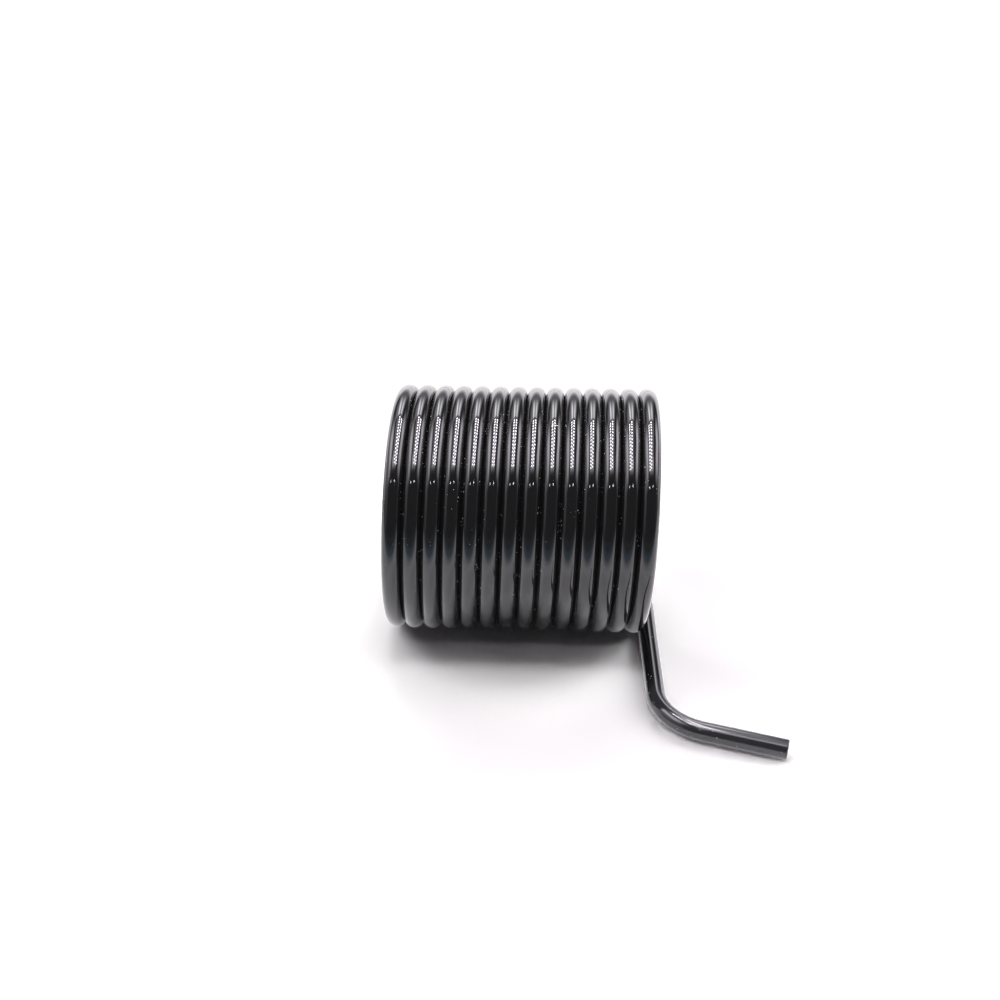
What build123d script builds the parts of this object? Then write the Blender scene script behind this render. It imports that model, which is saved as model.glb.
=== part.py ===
"""Left-hand torsion spring: fourteen close turns of round wire, a straight rear leg and a front leg
with an outward hook. It is one piece of wire, so it is one solid. Dimensions are in millimetres.

The coil's axis is X and the origin is the middle of that axis. Both legs lie along the coil's lowest
line, so the spring rests flat on its turns and on both legs."""

import os

from build123d import *

os.makedirs("parts", exist_ok=True)

# Wire and coil
wire_diameter = 3.75
outside_diameter = 51.5
turn_gap = 0.1  # air between neighbouring turns
turns = 14

# Each leg first eases out of the helix until it is square to the coil's axis
ease_length = 13.0

# Rear leg, from the first turn towards +Y
rear_straight = 33.0

# Front leg, from the last turn towards -Y, with a hook that turns outwards
front_straight = 19.0
bend_radius = 11.75  # to the wire's centre
bend_angle = 73.0
hook_straight = 16.0

cut_chamfer = 0.3  # broken edge around each cut end

# Worked out from the dimensions above
wire_radius = wire_diameter / 2
mean_radius = outside_diameter / 2 - wire_radius
pitch = wire_diameter + turn_gap
coil_length = turns * pitch

backwards = Vector(0, 1, 0)
forwards = Vector(0, -1, 0)

# The wire's centre line is drawn as the coil and its two legs
coil = Helix(
    pitch,
    coil_length,
    mean_radius,
    center=(-coil_length / 2, 0, 0),
    direction=(1, 0, 0),
    lefthand=True,
)
# A helix along X starts at the top, so half a turn about X brings both its ends to the bottom
coil = coil.rotate(Axis.X, 180)

with BuildLine() as rear_leg:
    rear_clear = coil @ 0 + backwards * ease_length
    Line(rear_clear + backwards * rear_straight, rear_clear)
    Spline(rear_clear, coil @ 0, tangents=(forwards, coil % 0))

with BuildLine() as front_leg:
    front_clear = coil @ 1 + forwards * ease_length
    Spline(coil @ 1, front_clear, tangents=(coil % 1, forwards))
    straight = Line(front_clear, front_clear + forwards * front_straight)
    bend = JernArc(straight @ 1, forwards, bend_radius, bend_angle)
    PolarLine(bend @ 1, hook_straight, direction=bend % 1)

with BuildPart() as torsion_spring:
    for centre_line in (rear_leg.wire(), coil, front_leg.wire()):
        with BuildSketch(Plane(origin=centre_line @ 0, z_dir=centre_line % 0)):
            Circle(wire_radius)
        sweep(path=centre_line, clean=False)
    cut_ends = torsion_spring.faces().filter_by(GeomType.PLANE)
    chamfer(cut_ends.edges(), cut_chamfer)

torsion_spring.part.label = "torsion_spring"
export_step(torsion_spring.part, "parts/torsion_spring.step")
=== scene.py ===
"""The looks of a black coated torsion spring, lying on a pale table in a small light tent."""

import math

import bmesh
import bpy
from mathutils import Matrix, Vector


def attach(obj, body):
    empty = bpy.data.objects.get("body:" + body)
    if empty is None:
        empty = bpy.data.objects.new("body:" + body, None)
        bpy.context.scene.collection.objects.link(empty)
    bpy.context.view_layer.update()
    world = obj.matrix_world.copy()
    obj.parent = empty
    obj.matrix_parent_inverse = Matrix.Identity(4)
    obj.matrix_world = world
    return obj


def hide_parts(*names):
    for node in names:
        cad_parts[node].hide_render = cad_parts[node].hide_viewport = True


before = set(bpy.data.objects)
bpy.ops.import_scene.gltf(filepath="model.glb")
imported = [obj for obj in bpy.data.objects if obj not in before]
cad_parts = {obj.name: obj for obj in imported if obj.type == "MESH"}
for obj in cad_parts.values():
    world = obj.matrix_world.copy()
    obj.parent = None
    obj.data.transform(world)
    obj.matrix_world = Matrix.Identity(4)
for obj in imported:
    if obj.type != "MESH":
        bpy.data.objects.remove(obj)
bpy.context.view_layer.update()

MM = 0.001  # lengths are in metres
WHITE = (1, 1, 1, 1)

# Wire and coil. The solid leaves a fine gap between its turns. Here the coating closes it, so the
# wire is drawn half a gap thicker on each side and neighbouring turns touch.
TURN_GAP = 0.1 * MM
WIRE_RADIUS = 1.875 * MM + TURN_GAP / 2
MEAN_RADIUS = 23.875 * MM
PITCH = 3.85 * MM
TURNS = 14
COIL_LENGTH = TURNS * PITCH
HELIX_SLOPE = math.atan(PITCH / (2 * math.pi * MEAN_RADIUS))

# Legs and hook
EASE_LENGTH = 13.0 * MM
REAR_STRAIGHT = 33.0 * MM
FRONT_STRAIGHT = 19.0 * MM
BEND_RADIUS = 11.75 * MM
BEND_ANGLE = math.radians(73)
HOOK_STRAIGHT = 16.0 * MM
CUT_EDGE = 0.3 * MM

# How finely the wire is drawn
WIRE_SIDES = 36
STEPS_PER_TURN = 120
EASE_STEPS = 8
BEND_STEPS = 32
CUT_EDGE_STEPS = 3
SEAM = 0.001 * MM  # points closer than this are one point

# Further down, a stretch of two numbers says where something begins and where it is full. One of
# four also says where it starts to fade and where it ends.

# Coating. Its waves are too low to see by themselves and only unsettle the reflections, and a
# trace of stray light lies over it. The hooked leg is handled most: its bend and hook are dustier,
# and the hook is duller as well. Their coating is painted lighter and bluish, a painted sheen that
# stands in for the hazy reflection on them.
COATING = (0.007, 0.007, 0.0075, 1)
# Painted sheen: the lighter, bluish coating of the bend and hook
HANDLED_COATING_PAINTED_SHEEN = (0.030, 0.029, 0.035, 1)
HANDLED_AND_SHEEN_Y = (-28 * MM, -34 * MM)
DULLED_X = (33 * MM, 42 * MM)
COATING_ROUGHNESS = 0.05
HANDLED_ROUGHNESS = 0.03
DULLED_ROUGHNESS = 0.10
WAVES_PER_METRE = 420.0
WAVE_HEIGHT = 0.1 * MM
WAVE_STRENGTH = 0.02
STRAY_LIGHT = (0.9, 0.9, 1.0, 1)
STRAY_STRENGTH = 0.002

# Dust. A speck's reach is measured in cells of the pattern that spreads the specks. The noise that
# sets their sizes leaves a cell bare below the first of its two values, and above the second the
# cell's speck has its full size.
DUST = (0.45, 0.45, 0.44, 1)
DUST_ROUGHNESS = 0.4
SPECK_CELLS_PER_METRE = 1100.0
SPECK_SIZES_PER_METRE = 300.0
SPECK_REACH = 0.10
SPECK_EDGE = 0.03
SPECK_NOISE = (0.41, 0.70)
GAP_ACROSS = (0.27, 0.39, 0.61, 0.73)  # of a pitch, from one turn's crest to the next
GAP_REACH = 0.08  # how much further specks reach in a gap
GAP_NOISE = 0.1  # how much lower the noise may be in a gap before it leaves a cell bare
HANDLED_NOISE = 0.13  # the same on the handled end

# One dust fibre on the coil's upper side, along a line that slants a little backwards to the right
FIBRE_X = (4.9 * MM, 5.1 * MM, 6.3 * MM, 6.5 * MM)
FIBRE_Y = (-10.02 * MM, -9.94 * MM, -9.80 * MM, -9.72 * MM)
FIBRE_SLANT = 0.1
UPPER_SIDE_Z = (0, 1 * MM)

# Table board. Distances are from the middle of the coil.
TABLE_HEIGHT = -(MEAN_RADIUS + WIRE_RADIUS)
TABLE_HALF = 4.0
BOARD = (0.730, 0.710, 0.718, 1)
BOARD_DEPTH = 2.2 * MM  # how far light spreads inside it
BOARD_SPREAD = (1.0, 0.93, 0.9)
# Painted shade: the open board in front of the spring and to its right is greyer where the lamps'
# light falls off
PAINTED_SHADE_BOARD = (0.568, 0.544, 0.560, 1)
PAINTED_SHADE_DISTANCE = (37 * MM, 51 * MM, 62 * MM, 80 * MM)
PAINTED_SHADE_X = (-32 * MM, -8 * MM)
SHEEN = (0.98, 0.96, 1.04, 1)
SHEEN_STRENGTH = 0.88
SHEEN_DISTANCE = (30 * MM, 44 * MM)
FAR_DISTANCE = (68 * MM, 100 * MM)
FAR_BOARD = (0.53, 0.53, 0.53, 1)
FAR_STRENGTH = 2.0

# The far board in the coating's reflections, from the dim room in front to the back of the table:
# the stretch on Y where each colour takes over from the one before it, and the colour
MIRRORED_ROOM = (0.12, 0.12, 0.13, 1)
MIRRORED_BOARD = (
    ((-0.26, -0.105), (0.25, 0.33, 0.43, 1)),
    ((-0.125, -0.065), (1.05, 1.03, 1.09, 1)),
    ((-0.02, 0.08), (0.66, 0.64, 0.645, 1)),
    ((0.15, 0.45), (1, 0.968, 0.978, 1)),
)

# Lamp panel of the light tent. Its small lights stand in rows across it, and in a left, a middle
# and a right file. The brightness of its face and of the side lights is given for its rear half
# and its front half. The middle file is in the front half alone.
PANEL_HEIGHT = 0.135
PANEL_LEFT, PANEL_RIGHT = -0.0381, 0.0401
PANEL_FRONT, PANEL_REAR = -0.0668, 0.0562
FRONT_HALF_Y = (0.03, -0.015)
LIGHT_ROWS = 15
LIGHT_IN_ROW = (0.24, 0.36, 0.64, 0.76)  # of the way from one row to the next
LEFT_FILE_X = (-0.032, -0.024, -0.016, -0.008)
MIDDLE_FILE_X = (-0.010, -0.002, 0.004, 0.012)
RIGHT_FILE_X = (0.010, 0.018, 0.026, 0.034)
PANEL_COLOUR = (0.97, 0.925, 1.02)
REAR_FACE, FRONT_FACE = 2.0, 3.5
REAR_SIDE_LIGHTS, FRONT_SIDE_LIGHTS = 64.0, 52.0
MIDDLE_LIGHTS = 38.0

# The lamp that gives the panel's light
PANEL_LAMP_IN = 0.0154  # from the panel's front edge to the middle of the lamp
PANEL_LAMP_LENGTH = 0.031
PANEL_LAMP_WATTS = 0.064

# The light tent in the coating's reflections. A place in it is given in degrees over, up from the
# front horizon and on over the top, and degrees aside from that path, to the right above 0. Each
# part of the tent adds its brightness over its stretch of degrees over and of degrees aside.
TENT_COLOUR = (0.995, 0.965, 1.03, 1)
TENT_CLOTH = 0.13  # brightness of the whole tent, without its parts
AMBIENT = 0.02  # light from all around that falls on what doesn't mirror
ANYWHERE = ()
TENT_PARTS = {
    "front": (0.55, (57, 65), (-23, -17, 17, 23)),
    "front_left": (0.55, (57, 65), (-37, -43)),
    "front_right": (0.55, (57, 65), (37, 43)),
    "left_side": (0.336, ANYWHERE, (-82, -70, -56, -44)),
    "upper_left_side": (0.336, (0, 50), (-82, -70, -56, -44)),
    "right_side": (0.2, ANYWHERE, (55, 75)),
    "left_wall": (6.9, (47, 89, 104, 146), (-62, -45, -42, -25)),
    "ceiling": (2.0, (65, 85, 108, 128), (-24, -14, 14, 24)),
    "ceiling_front": (6.0, (61, 71, 73, 83), (-24, -14, 14, 24)),
    "rear": (3.6, (121.5, 124, 128, 157), (-20, -13, 13, 20)),
    "rear_left_streak": (8.0, (121.5, 124, 128, 157), (-14.5, -11.5, -7.5, -4.5)),
    "rear_right_streak": (5.5, (121.5, 124, 128, 157), (3.5, 6.5, 10, 13)),
    "rear_left": (2.0, (121.5, 124, 128, 157), (-34, -26, -21, -13)),
    "back": (1.8, (160, 174), ANYWHERE),
    "back_left": (0.35, (100, 140), (-56, -70)),
    "low_left": (1.9, (158, 184), (-38, -58)),
    "back_right": (0.8, (95, 125), (55, 72)),
    "low_right": (2.5, (156, 182), (26, 44)),
    "left_lamp": (75.0, (50.1, 51.1, 51.9, 52.9), (-20.8, -20.0, -18.8, -18.0)),
    "right_lamp": (110.0, (50.1, 51.1, 51.9, 52.9), (16.8, 17.6, 18.8, 19.6)),
}

# The right wall is one more part, which shifts inwards by some degrees over this stretch
RIGHT_WALL = (6.5, (58, 94, 119, 155), (34, 49, 56.5, 71.5))
RIGHT_WALL_SHIFT = 6.0
RIGHT_WALL_SHIFTS = (105, 120)

# Soft lamps in the tent, which light the table: degrees over, degrees aside, distance from the
# middle of the coil, width and height, and watts
TENT_LAMPS = {
    "left_wall": (100, -46.5, 0.5, (0.22, 0.38), 1.05),
    "right_wall": (109, 53, 0.5, (0.20, 0.36), 1.40),
    "top": (95, 0, 0.6, (0.9, 0.9), 0.40),
    "back": (130, -1, 0.5, (0.34, 0.14), 0.73),
    "low_back": (162, -1, 0.5, (0.6, 0.14), 1.05),
    "left_lamp": (52.3, -20, 0.6, (0.03, 0.03), 0.10),
    "right_lamp": (52.3, 20, 0.6, (0.03, 0.03), 0.06),
}

# Camera
LOOK_AT = Vector((-5.24, 0.0, 1.85)) * MM
CAMERA_DISTANCE = 262.9 * MM
CAMERA_ELEVATION = math.radians(28.77)
CAMERA_YAW = math.radians(1.588)
CAMERA_ROLL = math.radians(0.474)
LENS, SENSOR = 44.56, 36.0  # in millimetres
NEAREST, FARTHEST = 0.01, 20.0  # what it can see


class Socket:
    """A socket of a shader. Python's operators on it add Math nodes."""

    def __init__(self, shader, socket):
        self.shader = shader
        self.socket = socket

    def math(self, operation, *terms):
        return self.shader.node("ShaderNodeMath", {"operation": operation}, dict(enumerate(terms)))

    def __add__(self, other):
        return self.math("ADD", self, other)

    def __sub__(self, other):
        return self.math("SUBTRACT", self, other)

    def __mul__(self, other):
        return self.math("MULTIPLY", self, other)

    def __truediv__(self, other):
        return self.math("DIVIDE", self, other)

    def __radd__(self, other):
        return self.math("ADD", other, self)

    def __rsub__(self, other):
        return self.math("SUBTRACT", other, self)

    def __rmul__(self, other):
        return self.math("MULTIPLY", other, self)

    def __rtruediv__(self, other):
        return self.math("DIVIDE", other, self)


class Shader:
    """A node tree that starts empty and grows one node at a time."""

    def __init__(self, tree):
        self.tree = tree
        tree.nodes.clear()

    def node(self, kind, settings=None, inputs=None, output=0):
        """Adds a node with its settings and its sockets' values or links, and returns an output."""
        node = self.tree.nodes.new(kind)
        for name, value in (settings or {}).items():
            setattr(node, name, value)
        for key, term in (inputs or {}).items():
            if isinstance(term, Socket):
                self.tree.links.new(term.socket, node.inputs[key])
            else:
                node.inputs[key].default_value = term
        return Socket(self, node.outputs[output]) if node.outputs else None

    def parts(self, vector):
        """The three coordinates of a vector."""
        first = self.node("ShaderNodeSeparateXYZ", None, {"Vector": vector})
        return [Socket(self, output) for output in first.socket.node.outputs]


def rise(value, low, high):
    """0 below low and 1 above high, with a smooth step between them."""
    inputs = {"Value": value, "From Min": low, "From Max": high}
    return value.shader.node("ShaderNodeMapRange", {"interpolation_type": "SMOOTHSTEP"}, inputs)


def within(value, begins, full, fades=None, ends=None):
    """1 within a stretch and 0 outside it, with a smooth step at each end.

    Without the last two numbers the stretch has one end only, and it may run downwards.
    """
    if begins > full:
        return 1 - rise(value, full, begins)
    if fades is None:
        return rise(value, begins, full)
    return rise(value, begins, full) * (1 - rise(value, fades, ends))


def blend_colours(factor, first, second):
    """The first colour where the factor is 0 and the second where it is 1."""
    inputs = {0: factor, 6: first, 7: second}
    return factor.shader.node("ShaderNodeMix", {"data_type": "RGBA"}, inputs, output=2)


# ---------------------------------------------------------------- the wire


def open_end(bm):
    """A ring of the wire at the hooked end of the coil, square to the helix."""
    coil_end = Vector((COIL_LENGTH / 2, 0, -MEAN_RADIUS))
    heading = Matrix.Rotation(HELIX_SLOPE, 4, "Z") @ Matrix.Rotation(math.radians(90), 4, "X")
    placed = Matrix.Translation(coil_end) @ heading
    ring = bmesh.ops.create_circle(bm, segments=WIRE_SIDES, radius=WIRE_RADIUS, matrix=placed)
    return edges_of(ring["verts"])


def edges_of(parts):
    """The edges that a list of verts and edges holds or joins."""
    verts = {part for part in parts if isinstance(part, bmesh.types.BMVert)}
    joined = {edge for vert in verts for edge in vert.link_edges if set(edge.verts) <= verts}
    return list(joined)


def push(bm, ring, move, turn=0.0):
    """Draws the wire on from its open ring, and returns the ring at its new end."""
    drawn = bmesh.ops.extrude_edge_only(bm, edges=ring)["geom"]
    verts = [part for part in drawn if isinstance(part, bmesh.types.BMVert)]
    bmesh.ops.translate(bm, verts=verts, vec=move)
    centre = sum((vert.co for vert in verts), Vector()) / len(verts)
    bmesh.ops.rotate(bm, verts=verts, cent=centre, matrix=Matrix.Rotation(turn, 3, "Z"))
    return edges_of(verts)


def wind(bm, ring, centre, axis, angle, steps, move=(0, 0, 0)):
    """Winds the wire on about an axis, moving it along at every step."""
    wound = bmesh.ops.spin(
        bm,
        geom=ring,
        cent=centre,
        axis=axis,
        dvec=move,
        angle=angle,
        steps=steps,
        use_merge=False,
        use_duplicate=False,
    )
    return edges_of(wound["geom_last"])


def ease(bm, ring):
    """Draws a leg's first length, where the wire turns from the helix's slope to straight on."""
    aside = 0.0
    slope = HELIX_SLOPE
    for step in range(1, EASE_STEPS + 1):
        t = step / EASE_STEPS
        next_aside = EASE_LENGTH * HELIX_SLOPE * t * (1 - t) ** 2
        next_slope = HELIX_SLOPE * (1 - t) * (1 - 3 * t)
        move = Vector((next_aside - aside, -EASE_LENGTH / EASE_STEPS, 0))
        ring = push(bm, ring, move, next_slope - slope)
        aside = next_aside
        slope = next_slope
    return ring


def cut_off(bm, ring):
    """Closes a cut end of the wire and breaks its edge."""
    bmesh.ops.contextual_create(bm, geom=ring)
    bmesh.ops.bevel(
        bm,
        geom=ring,
        offset=CUT_EDGE,
        offset_type="OFFSET",
        affect="EDGES",
        segments=CUT_EDGE_STEPS,
        profile=0.5,
        material=-1,
    )


def draw_rear_leg(bm):
    """The straight leg, drawn at the hooked end and turned round to the coil's other end.

    It is drawn before anything else, because the whole mesh is turned.
    """
    ring = push(bm, ease(bm, open_end(bm)), Vector((0, -REAR_STRAIGHT, 0)))
    cut_off(bm, ring)
    half_turn = Matrix.Rotation(math.radians(180), 3, "Z")
    bmesh.ops.rotate(bm, verts=bm.verts, cent=(0, 0, 0), matrix=half_turn)


def draw_hooked_leg(bm):
    """The leg that bends outwards into a hook."""
    ring = push(bm, ease(bm, open_end(bm)), Vector((0, -FRONT_STRAIGHT, 0)))
    bend_x = COIL_LENGTH / 2 + BEND_RADIUS
    bend_centre = Vector((bend_x, -EASE_LENGTH - FRONT_STRAIGHT, -MEAN_RADIUS))
    ring = wind(bm, ring, bend_centre, (0, 0, 1), BEND_ANGLE, BEND_STEPS)
    outwards = Vector((math.sin(BEND_ANGLE), -math.cos(BEND_ANGLE), 0))
    cut_off(bm, push(bm, ring, outwards * HOOK_STRAIGHT))


def draw_coil(bm):
    """One turn is wound back from the hooked end, and the others are its copies, a pitch apart."""
    ring = open_end(bm)
    before = set(bm.faces)
    back = Vector((-PITCH / STEPS_PER_TURN, 0, 0))
    wind(bm, ring, (0, 0, 0), (1, 0, 0), 2 * math.pi, STEPS_PER_TURN, back)
    turn = [face for face in bm.faces if face not in before]
    for number in range(1, TURNS):
        copied = bmesh.ops.duplicate(bm, geom=turn)["geom"]
        verts = [part for part in copied if isinstance(part, bmesh.types.BMVert)]
        bmesh.ops.translate(bm, verts=verts, vec=(-number * PITCH, 0, 0))


def draw_wire():
    """The whole spring as one tube, closed at its two cut ends."""
    bm = bmesh.new()
    draw_rear_leg(bm)
    draw_hooked_leg(bm)
    draw_coil(bm)
    bmesh.ops.remove_doubles(bm, verts=bm.verts, dist=SEAM)
    bmesh.ops.recalc_face_normals(bm, faces=bm.faces)
    # Everything but the two flat cut faces is smooth
    for face in bm.faces:
        face.smooth = len(face.verts) == 4
    return bm


def add_object(name, bm, material):
    """Makes an object of a finished mesh."""
    mesh = bpy.data.meshes.new(name)
    bm.to_mesh(mesh)
    bm.free()
    mesh.materials.append(material)
    made = bpy.data.objects.new(name, mesh)
    bpy.context.scene.collection.objects.link(made)
    return made


# ---------------------------------------------------------------- finishes


def new_shader(name):
    """A material and its shader, which is still empty."""
    material = bpy.data.materials.new(name)
    material.use_nodes = True
    return material, Shader(material.node_tree)


def noise(place, scale, detail):
    """Cloudy noise, with about as many clouds to the metre as its scale says."""
    inputs = {"Vector": place, "Scale": scale, "Detail": detail}
    return place.shader.node("ShaderNodeTexNoise", None, inputs)


def gap_between_turns(x, y, z):
    """1 in the gaps between turns and 0 on the turns' crests."""
    # After its whole turns, this is 0 on a turn's crest and 0.5 in the gap to the next one
    turned = y.math("ARCTAN2", 0 - y, 0 - z) / (2 * math.pi)
    across = x / PITCH + TURNS / 2 - turned
    return within(across.math("FRACT", across), *GAP_ACROSS)


def dust_specks(place, in_gap, handled_and_sheen):
    """Small specks all over, more of them in the gaps and on the handled end."""
    inputs = {"Vector": place, "Scale": SPECK_CELLS_PER_METRE}
    from_middle = place.shader.node("ShaderNodeTexVoronoi", {"feature": "F1"}, inputs, "Distance")
    sizes = noise(place, SPECK_SIZES_PER_METRE, detail=1.0)
    bare, full = SPECK_NOISE
    bare = bare - GAP_NOISE * in_gap - HANDLED_NOISE * handled_and_sheen
    reach = (SPECK_REACH + GAP_REACH * in_gap) * rise(sizes, bare, full)
    return rise(reach - from_middle, 0.0, SPECK_EDGE)


def dust_fibre(x, y, z):
    """One fibre that lies across a turn."""
    line = within(x, *FIBRE_X) * within(y - FIBRE_SLANT * x, *FIBRE_Y)
    return line * rise(z, *UPPER_SIDE_Z)


def black_coating():
    """Thin glossy black coating, faintly uneven, with dust specks and a fibre settled on it."""
    material, shader = new_shader("black_coating")
    place = shader.node("ShaderNodeTexCoord", output="Object")
    x, y, z = shader.parts(place)
    handled_and_sheen = within(y, *HANDLED_AND_SHEEN_Y)
    dulled = within(x, *DULLED_X)
    dusty = dust_specks(place, gap_between_turns(x, y, z), handled_and_sheen) + dust_fibre(x, y, z)

    # The handled end's coating is painted lighter and bluish: a painted sheen in place of its hazy
    # reflection
    coating_and_sheen = blend_colours(handled_and_sheen, COATING, HANDLED_COATING_PAINTED_SHEEN)
    roughness = (
        COATING_ROUGHNESS
        + DUST_ROUGHNESS * dusty
        + HANDLED_ROUGHNESS * handled_and_sheen
        + DULLED_ROUGHNESS * dulled
    )
    waves = {
        "Height": noise(place, WAVES_PER_METRE, detail=2.0),
        "Strength": WAVE_STRENGTH,
        "Distance": WAVE_HEIGHT,
    }
    surface = shader.node(
        "ShaderNodeBsdfPrincipled",
        None,
        {
            "Base Color": blend_colours(dusty, coating_and_sheen, DUST),
            "Roughness": roughness,
            "IOR": 1.5,
            "Normal": shader.node("ShaderNodeBump", None, waves),
            "Emission Color": STRAY_LIGHT,
            "Emission Strength": STRAY_STRENGTH,
        },
    )
    shader.node("ShaderNodeOutputMaterial", None, {"Surface": surface})
    return material


def lit_board(shader, colour):
    """The board where the lamps light it. Light spreads a little inside it."""
    inputs = {"Color": colour, "Scale": BOARD_DEPTH, "Radius": BOARD_SPREAD}
    return shader.node("ShaderNodeSubsurfaceScattering", {"falloff": "BURLEY"}, inputs)


def far_board(shader, y, glossy):
    """The board far from the spring: evenly bright, but with its own colours in reflections."""
    mirrored = MIRRORED_ROOM
    for place, colour in MIRRORED_BOARD:
        mirrored = blend_colours(rise(y, *place), mirrored, colour)
    colour = blend_colours(glossy, FAR_BOARD, mirrored)
    return shader.node("ShaderNodeEmission", None, {"Color": colour, "Strength": FAR_STRENGTH})


def table_top():
    """White table board, lit near the spring and evenly bright far from it.

    The open board in front of the spring and to its right is painted a little greyer, a painted
    shade where the lamps' light falls off. In the coating's reflections the board near the spring
    is brighter than it is lit, and the far board brightens towards the back and darkens in front
    towards a dim room.
    """
    material, shader = new_shader("table_board")
    place = shader.node("ShaderNodeTexCoord", output="Object")
    x, y, _ = shader.parts(place)
    distance = shader.node("ShaderNodeVectorMath", {"operation": "LENGTH"}, {0: place}, "Value")
    glossy = shader.node("ShaderNodeLightPath", output="Is Glossy Ray")

    # Painted shade on the open board in front of the spring and to its right
    painted_shade = within(distance, *PAINTED_SHADE_DISTANCE) * within(x, *PAINTED_SHADE_X)
    boards = {0: painted_shade, 1: lit_board(shader, BOARD), 2: lit_board(shader, PAINTED_SHADE_BOARD)}
    board = shader.node("ShaderNodeMixShader", None, boards)
    # Added to itself, it gives back twice the light that falls on it
    twice = shader.node("ShaderNodeAddShader", None, {0: board, 1: board})

    sheen = shader.node("ShaderNodeEmission", None, {"Color": SHEEN, "Strength": SHEEN_STRENGTH})
    brighter = shader.node("ShaderNodeAddShader", None, {0: twice, 1: sheen})
    mirrored_near = glossy * within(distance, *SHEEN_DISTANCE)
    near = shader.node("ShaderNodeMixShader", None, {0: mirrored_near, 1: twice, 2: brighter})

    parts = {0: within(distance, *FAR_DISTANCE), 1: near, 2: far_board(shader, y, glossy)}
    surface = shader.node("ShaderNodeMixShader", None, parts)
    shader.node("ShaderNodeOutputMaterial", None, {"Surface": surface})
    return material


def panel_lights():
    """Rows of small lights, of which the middle ones stand half a row out of step."""
    material, shader = new_shader("panel_lights")
    material.cycles.emission_sampling = "NONE"
    x, y, _ = shader.parts(shader.node("ShaderNodeTexCoord", output="Object"))

    rows = (y - PANEL_FRONT) * (LIGHT_ROWS / (PANEL_REAR - PANEL_FRONT))
    in_step = within(rows.math("FRACT", rows), *LIGHT_IN_ROW)
    out_of_step = within(rows.math("FRACT", rows + 0.5), *LIGHT_IN_ROW)
    in_front = within(y, *FRONT_HALF_Y)
    sides = (within(x, *LEFT_FILE_X) + within(x, *RIGHT_FILE_X)) * in_step
    middle = within(x, *MIDDLE_FILE_X) * in_front * out_of_step

    face = REAR_FACE + (FRONT_FACE - REAR_FACE) * in_front
    side_lights = REAR_SIDE_LIGHTS + (FRONT_SIDE_LIGHTS - REAR_SIDE_LIGHTS) * in_front
    glow = face + side_lights * sides + MIDDLE_LIGHTS * middle
    colour = shader.node(
        "ShaderNodeVectorMath", {"operation": "SCALE"}, {0: PANEL_COLOUR, "Scale": glow}
    )
    surface = shader.node("ShaderNodeEmission", None, {"Color": colour, "Strength": 1.0})
    shader.node("ShaderNodeOutputMaterial", None, {"Surface": surface})
    return material


# ---------------------------------------------------------------- stage


def lay_table():
    """The table under the spring."""
    bm = bmesh.new()
    placed = Matrix.Translation((0, 0, TABLE_HEIGHT))
    bmesh.ops.create_grid(bm, x_segments=1, y_segments=1, size=TABLE_HALF, matrix=placed)
    add_object("table", bm, table_top())


def tent_light(over, aside):
    """How bright the tent is at a place."""
    brightness, wall_over, wall_aside = RIGHT_WALL
    shifted = aside + RIGHT_WALL_SHIFT * within(over, *RIGHT_WALL_SHIFTS)
    light = TENT_CLOTH + brightness * within(over, *wall_over) * within(shifted, *wall_aside)
    for brightness, part_over, part_aside in TENT_PARTS.values():
        part = brightness
        if part_over:
            part = part * within(over, *part_over)
        if part_aside:
            part = part * within(aside, *part_aside)
        light = light + part
    return light


def light_tent():
    """What surrounds the table.

    The camera sees plain white, the coating mirrors a tent, and the rest gets a trace of light.
    """
    world = bpy.data.worlds.new("light_tent")
    bpy.context.scene.world = world
    world.use_nodes = True
    world.cycles.sampling_method = "NONE"
    shader = Shader(world.node_tree)
    x, y, z = shader.parts(shader.node("ShaderNodeTexCoord", output="Generated"))
    over = z.math("ARCTAN2", z, 0 - y) * math.degrees(1)
    aside = x.math("ARCSINE", x) * math.degrees(1)

    seen = shader.node("ShaderNodeLightPath", output="Is Camera Ray")
    glossy = shader.node("ShaderNodeLightPath", output="Is Glossy Ray")
    strength = seen + glossy * tent_light(over, aside) + (1 - seen - glossy) * AMBIENT
    colour = blend_colours(seen, TENT_COLOUR, WHITE)
    surface = shader.node("ShaderNodeBackground", None, {"Color": colour, "Strength": strength})
    shader.node("ShaderNodeOutputWorld", None, {"Surface": surface})


def hang_panel():
    """The lamp panel, which only shows in reflections. A lamp of its own gives its light."""
    bm = bmesh.new()
    middle = Vector(((PANEL_LEFT + PANEL_RIGHT) / 2, (PANEL_FRONT + PANEL_REAR) / 2, PANEL_HEIGHT))
    width = PANEL_RIGHT - PANEL_LEFT
    length = PANEL_REAR - PANEL_FRONT
    placed = Matrix.Translation(middle) @ Matrix.Diagonal((width / 2, length / 2, 1, 1))
    bmesh.ops.create_grid(bm, x_segments=1, y_segments=1, size=1, matrix=placed)
    panel = add_object("lamp_panel", bm, panel_lights())
    panel.visible_camera = False
    panel.visible_diffuse = False
    panel.visible_shadow = False


def hang_lamp(name, place, aim, size, watts):
    """A soft rectangular lamp that lights the scene without showing in it."""
    lamp = bpy.data.lights.new(name, "AREA")
    lamp.shape = "RECTANGLE"
    lamp.size, lamp.size_y = size
    lamp.energy = watts
    hung = bpy.data.objects.new(name, lamp)
    hung.location = place
    hung.rotation_euler = (aim - place).to_track_quat("-Z", "Y").to_euler()
    hung.visible_camera = False
    hung.visible_glossy = False
    bpy.context.scene.collection.objects.link(hung)


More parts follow.
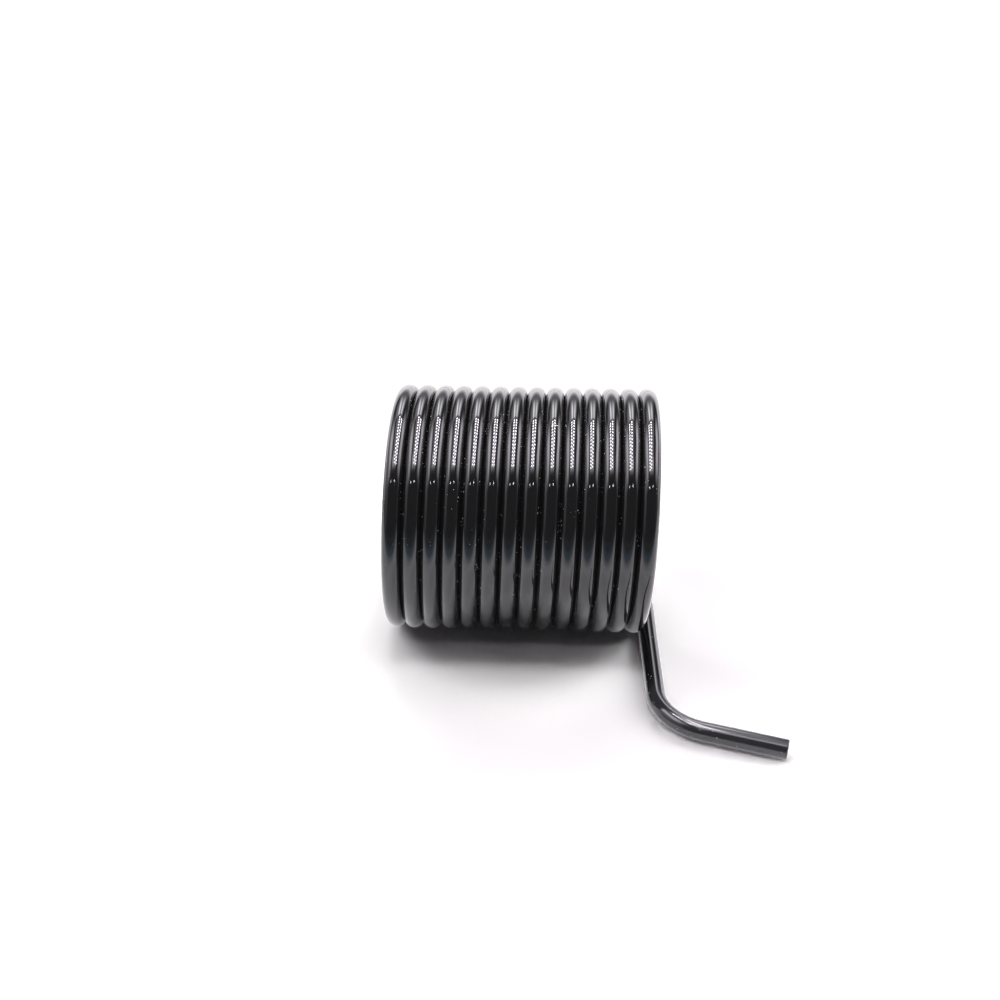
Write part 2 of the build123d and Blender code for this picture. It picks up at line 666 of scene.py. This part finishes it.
def hang_panel_lamp():
    """The lamp of the panel, which shines straight down from the panel's front part."""
    middle_x = (PANEL_LEFT + PANEL_RIGHT) / 2
    place = Vector((middle_x, PANEL_FRONT + PANEL_LAMP_IN, PANEL_HEIGHT))
    below = Vector((place.x, place.y, 0))
    size = (PANEL_RIGHT - PANEL_LEFT, PANEL_LAMP_LENGTH)
    hang_lamp("panel_lamp", place, below, size, PANEL_LAMP_WATTS)


def way_to(over, aside):
    """The direction of a place in the tent, from its degrees over and its degrees aside."""
    over = math.radians(over)
    aside = math.radians(aside)
    level = -math.cos(aside) * math.cos(over)
    return Vector((math.sin(aside), level, math.cos(aside) * math.sin(over)))


def hang_tent_lamps():
    """The light that the tent's walls, top, back and two small lamps throw on the table."""
    for name, (over, aside, distance, size, watts) in TENT_LAMPS.items():
        hang_lamp(name, way_to(over, aside) * distance, Vector(), size, watts)


def set_up_camera():
    """The camera, in front of the coil and looking down at it."""
    yaw, elevation, roll = CAMERA_YAW, CAMERA_ELEVATION, CAMERA_ROLL
    forward = Vector(
        (
            -math.sin(yaw) * math.cos(elevation),
            math.cos(yaw) * math.cos(elevation),
            -math.sin(elevation),
        )
    )
    level = Vector((math.cos(yaw), math.sin(yaw), 0))
    upward = level.cross(forward)
    right = math.cos(roll) * level + math.sin(roll) * upward
    above = math.cos(roll) * upward - math.sin(roll) * level
    turn = Matrix((right, above, -forward)).transposed().to_4x4()
    data = bpy.data.cameras.new("camera")
    data.lens = LENS
    data.sensor_width = SENSOR
    data.clip_start = NEAREST
    data.clip_end = FARTHEST
    camera = bpy.data.objects.new("camera", data)
    camera.matrix_world = Matrix.Translation(LOOK_AT - forward * CAMERA_DISTANCE) @ turn
    bpy.context.scene.collection.objects.link(camera)
    bpy.context.scene.camera = camera


spring = add_object("coated_wire_spring", draw_wire(), black_coating())
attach(spring, "root")
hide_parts("torsion_spring")

lay_table()
light_tent()
hang_panel()
hang_panel_lamp()
hang_tent_lamps()
set_up_camera()
bpy.context.scene.view_settings.view_transform = "Standard"
